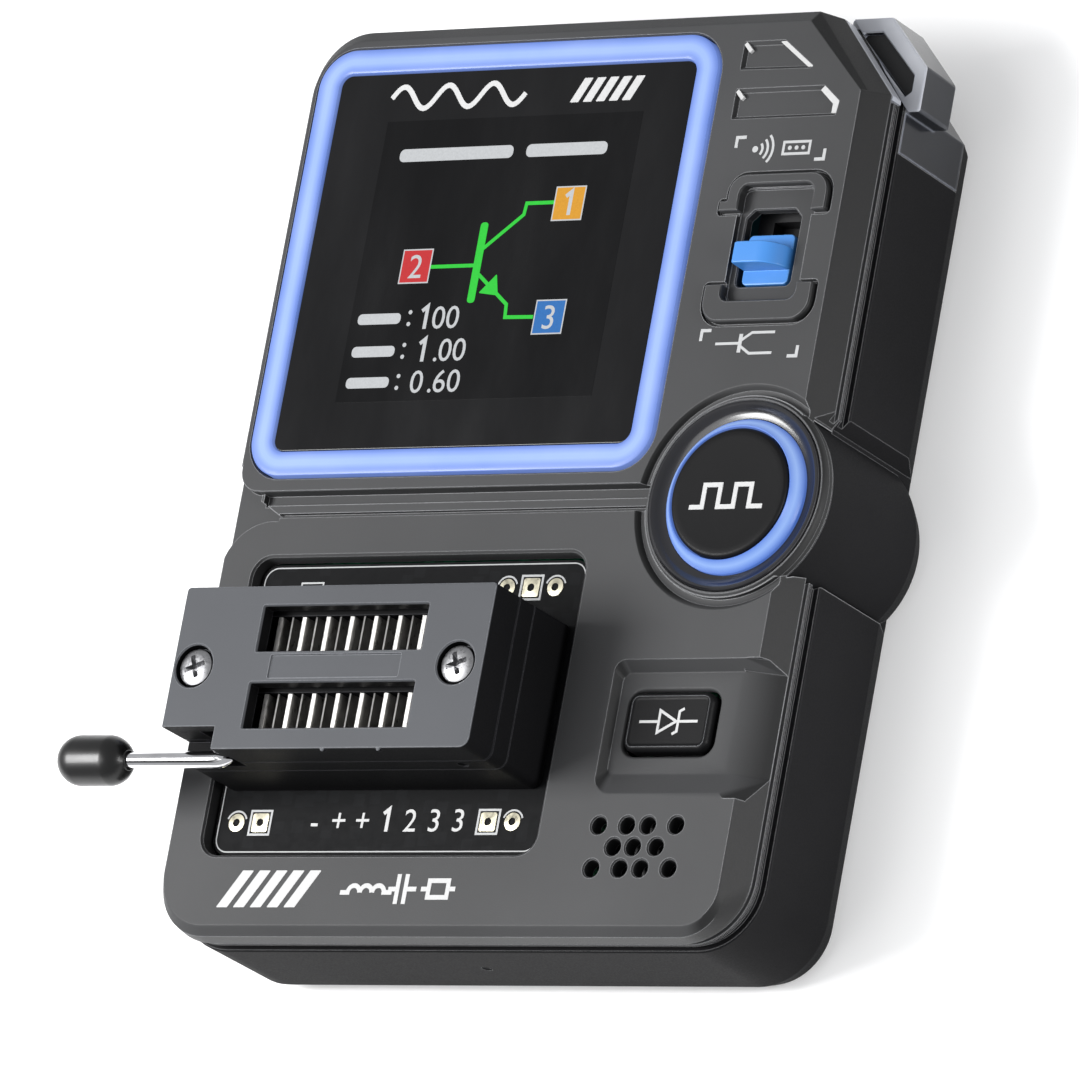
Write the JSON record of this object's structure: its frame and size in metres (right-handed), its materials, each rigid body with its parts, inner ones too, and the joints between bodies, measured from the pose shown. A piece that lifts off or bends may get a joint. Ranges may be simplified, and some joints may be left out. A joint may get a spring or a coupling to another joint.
{
  "type": "component tester",
  "caption": "Hand-held electronic component tester with a lit colour screen, round push button, slide switch, infrared window and a lever-operated zero-insertion-force socket.",
  "frame": {"origin": "middle of the flat back, on the surface that the tester lies on", "axes": "+X across the case to the button side, +Y along the case to the screen end, +Z out of the screen"},
  "size_m": [0.0699, 0.0851, 0.0275],
  "materials": {
    "shell_front": "fine matte texture",
    "shell_rear": "satin matte",
    "smoke_window": "smoky translucent gloss",
    "light_guide": "lit frosted light guide",
    "screen_glass": "black polished window",
    "metal_foil": "foil and frame",
    "black_gloss": "gloss black",
    "black_plastic": "satin black",
    "blue_plastic": "satin blue",
    "board_green": "solder mask",
    "board_black": "black solder mask",
    "socket_black": "satin glass-filled plastic",
    "socket_grey": "satin blue-grey plastic",
    "steel": "plated steel",
    "chrome": "bright plated rod",
    "contact_metal": "plated spring contact"
  },
  "bodies": {
    "case": {"front_cover": "shell_front", "rear_cover": "shell_rear", "ir_window": "smoke_window", "light_frame": "light_guide", "screen_lens": "screen_glass", "lcd_module": "metal_foil", "test_light_ring": "light_guide", "test_bezel": "black_gloss", "test_tact_body": "black_plastic", "zener_tact_body": "black_plastic", "slide_switch_body": "steel", "main_board": "board_green", "socket_board": "board_black", "board_header": "black_plastic", "buzzer": "black_plastic", "ir_receiver": "black_gloss", "battery": "metal_foil", "processor_chip": "black_plastic", "boost_inductor": "black_plastic", "usb_port": "steel", "case_screw_1": "steel", "case_screw_2": "steel", "case_screw_3": "steel", "case_screw_4": "steel", "zif_base": "socket_black", "zif_cover": "socket_grey", "zif_screw_left": "steel", "zif_screw_right": "steel", "contact_1": "contact_metal", "contact_2": "contact_metal", "contact_3": "contact_metal", "contact_4": "contact_metal", "contact_5": "contact_metal", "contact_6": "contact_metal", "contact_7": "contact_metal", "contact_8": "contact_metal", "contact_9": "contact_metal", "contact_10": "contact_metal", "contact_11": "contact_metal", "contact_12": "contact_metal", "contact_13": "contact_metal", "contact_14": "contact_metal"},
    "lever": {"zif_lever": "chrome", "lever_knob": "black_gloss"},
    "socket_slider": {"zif_slider": "socket_black"},
    "test_button": {"test_button_cap": "black_plastic", "test_tact_plunger": "black_plastic"},
    "zener_key": {"zener_button": "black_plastic", "zener_tact_plunger": "black_plastic"},
    "mode_switch": {"switch_knob": "blue_plastic"}
  },
  "joints": [
    {"name": "lever_turn", "type": "hinge", "parent": "case", "child": "lever", "pos_m": [-0.01985, -0.0286, 0.0244], "axis": [0, 1, 0], "range_deg": [0, 90]},
    {"name": "slider_shift", "type": "slide", "parent": "case", "child": "socket_slider", "axis": [1, 0, 0], "range_m": [0, 0.001]},
    {"name": "test_press", "type": "slide", "parent": "case", "child": "test_button", "axis": [0, 0, -1], "range_m": [0, 0.0005], "stiffness_N_per_m": 2000},
    {"name": "zener_press", "type": "slide", "parent": "case", "child": "zener_key", "axis": [0, 0, -1], "range_m": [0, 0.0005], "stiffness_N_per_m": 2000},
    {"name": "mode_slide", "type": "slide", "parent": "case", "child": "mode_switch", "axis": [0, 1, 0], "range_m": [0, 0.0017]}
  ],
  "couplings": [
    {"joint": "lever_turn", "follows": "slider_shift", "rad_per_m": 1570.8}
  ]
}
